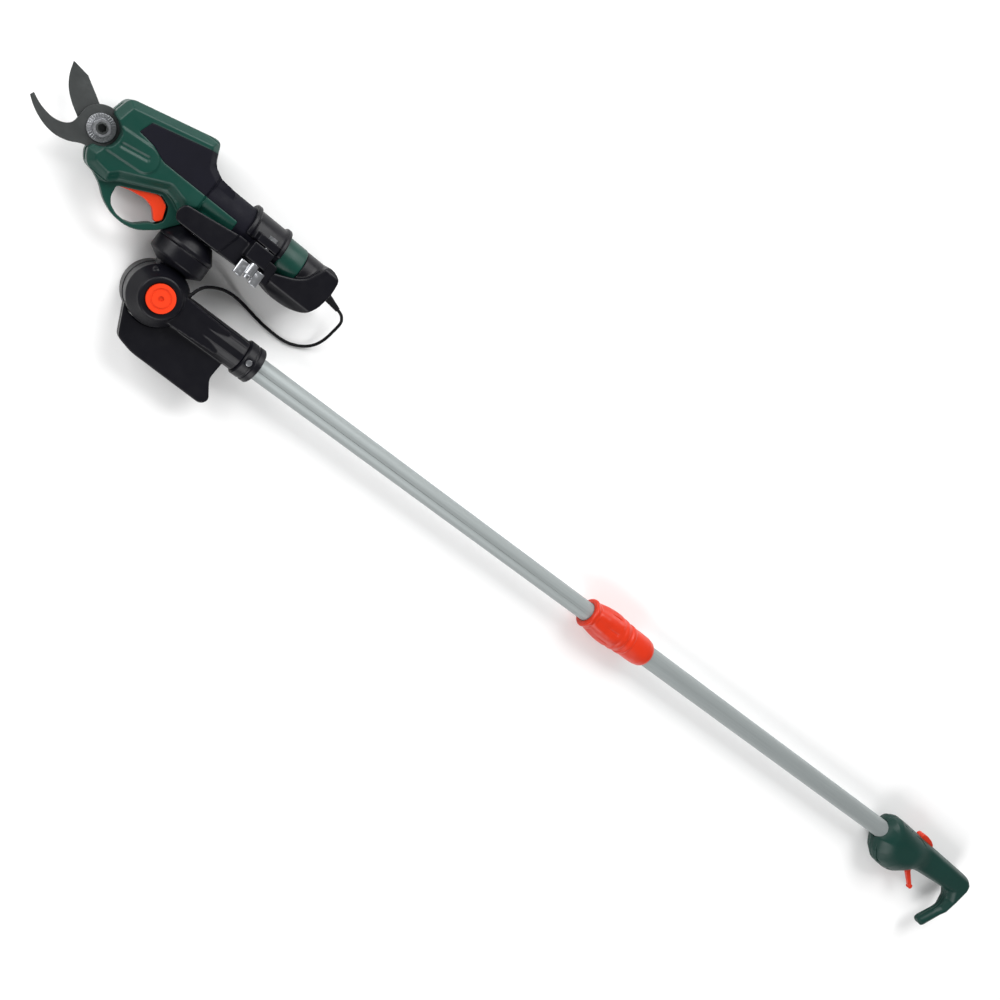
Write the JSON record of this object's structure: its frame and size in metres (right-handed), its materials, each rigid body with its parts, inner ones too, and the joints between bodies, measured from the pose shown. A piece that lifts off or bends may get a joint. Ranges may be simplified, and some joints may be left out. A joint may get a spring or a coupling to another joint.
{
  "type": "telescopic pole secateur",
  "caption": "Telescopic pole with a cordless bypass secateur clamped in a tilting cradle, a branch hook plate and a hooked trigger handle.",
  "frame": {"origin": "on the head hinge line, at the flat outer face of the far hinge cheek, on which the tool lies", "axes": "+X along the pole from the head to the handle, +Y from the pole towards the secateur, +Z along the head hinge, towards the release button"},
  "size_m": [1.5864, 0.2158, 0.061],
  "materials": {
    "green_plastic": "fine moulded texture",
    "handle_plastic": "fine moulded texture",
    "black_plastic": "glass-filled nylon, satin",
    "black_rubber": "soft overmould",
    "cable_rubber": "smooth cable jacket",
    "orange_plastic": "satin gloss",
    "red_plastic": "satin gloss",
    "blade_steel": "ground and coated",
    "bright_steel": "zinc plated",
    "pole_alloy": "satin anodised",
    "spring_steel": "bright",
    "motor_steel": "plated",
    "board_green": "solder mask",
    "cell_wrap": "shrink sleeve",
    "nylon": "plain"
  },
  "bodies": {
    "head": {"head_shell_near": "black_plastic", "head_shell_far": "black_plastic", "hinge_pin": "bright_steel", "button_spring": "spring_steel", "head_screws": "bright_steel", "cable_grommet": "cable_rubber", "connecting_cable": "cable_rubber", "socket_ring": "black_plastic", "socket_screw": "bright_steel", "upper_tube": "pole_alloy", "inner_bush": "nylon", "pole_cable": "cable_rubber", "coiled_cable": "cable_rubber"},
    "release_button": {"release_button": "orange_plastic"},
    "tool": {"knuckle": "black_plastic", "detent_ring": "spring_steel", "turret_cap": "black_plastic", "turret_bolt": "bright_steel", "cradle": "black_plastic", "strap": "black_plastic", "strap_bolt": "bright_steel", "tail_cup": "black_plastic", "remote_plug": "cable_rubber", "strain_relief": "cable_rubber", "secateur_shell_near": "green_plastic", "secateur_shell_far": "green_plastic", "overmould_near": "black_rubber", "overmould_far": "black_rubber", "counter_blade": "blade_steel", "pivot_bolt": "blade_steel", "pivot_washer": "bright_steel", "pivot_nut": "bright_steel", "trigger_pin": "bright_steel", "trigger_spring": "spring_steel", "trigger_switch": "nylon", "gear_motor": "motor_steel", "angle_gearbox": "motor_steel", "battery_cells": "cell_wrap", "control_board": "board_green", "secateur_screws": "bright_steel", "tail_socket": "nylon"},
    "blade": {"cutting_blade": "blade_steel"},
    "pinion": {"drive_pinion": "spring_steel"},
    "trigger": {"trigger": "orange_plastic"},
    "wing_nut": {"wing_nut": "bright_steel"},
    "lower_pole": {"collet": "nylon", "lock_body": "red_plastic", "lower_tube": "pole_alloy", "handle_shell_near": "handle_plastic", "handle_shell_far": "handle_plastic", "lever_pin": "bright_steel", "lever_spring": "spring_steel", "lever_switch": "nylon", "safety_spring": "spring_steel", "handle_screws": "bright_steel"},
    "lock_nut": {"lock_nut": "red_plastic"},
    "remote_lever": {"remote_lever": "red_plastic"},
    "safety_button": {"safety_button": "red_plastic"}
  },
  "joints": [
    {"name": "telescope", "type": "slide", "parent": "head", "child": "lower_pole", "axis": [-1, 0, 0], "range_m": [0, 0.4], "deforming": ["coiled_cable"]},
    {"name": "head_tilt", "type": "hinge", "parent": "head", "child": "tool", "pos_m": [0, 0, 0.027], "axis": [0, 0, 1], "range_deg": [0, 90], "deforming": ["connecting_cable"]},
    {"name": "hinge_release", "type": "slide", "parent": "head", "child": "release_button", "axis": [0, 0, -1], "range_m": [0, 0.004], "stiffness_N_per_m": 900, "springref_m": -0.002, "deforming": ["button_spring"]},
    {"name": "blade_pivot", "type": "hinge", "parent": "tool", "child": "blade", "pos_m": [-0.118, 0.0843, 0.027], "axis": [0, 0, 1], "range_deg": [0, 48]},
    {"name": "pinion_spin", "type": "hinge", "parent": "tool", "child": "pinion", "pos_m": [-0.091, 0.10052, 0.027], "axis": [0, 0, 1], "range_deg": [-122, 2]},
    {"name": "secateur_trigger", "type": "hinge", "parent": "tool", "child": "trigger", "pos_m": [-0.0736, 0.0602, 0.027], "axis": [0, 0, 1], "range_deg": [0, 9], "stiffness_Nm_per_rad": 0.6, "springref_deg": -5.73, "deforming": ["trigger_spring"]},
    {"name": "wing_nut_spin", "type": "hinge", "parent": "tool", "child": "wing_nut", "pos_m": [0.046, 0.063, 0.056], "axis": [0, -1, 0], "continuous": true},
    {"name": "twist_lock", "type": "hinge", "parent": "lower_pole", "child": "lock_nut", "pos_m": [0.6, 0, 0.027], "axis": [1, 0, 0], "range_deg": [0, 90]},
    {"name": "remote_trigger", "type": "hinge", "parent": "lower_pole", "child": "remote_lever", "pos_m": [1.288, -0.014, 0.027], "axis": [0, 0, 1], "range_deg": [0, 7], "stiffness_Nm_per_rad": 1, "springref_deg": -4.58, "deforming": ["lever_spring"]},
    {"name": "safety_press", "type": "slide", "parent": "lower_pole", "child": "safety_button", "axis": [0, -1, 0], "range_m": [0, 0.003], "stiffness_N_per_m": 700, "springref_m": -0.002, "deforming": ["safety_spring"]}
  ],
  "couplings": [
    {"joint": "pinion_spin", "follows": "blade_pivot", "ratio": -2.5}
  ]
}
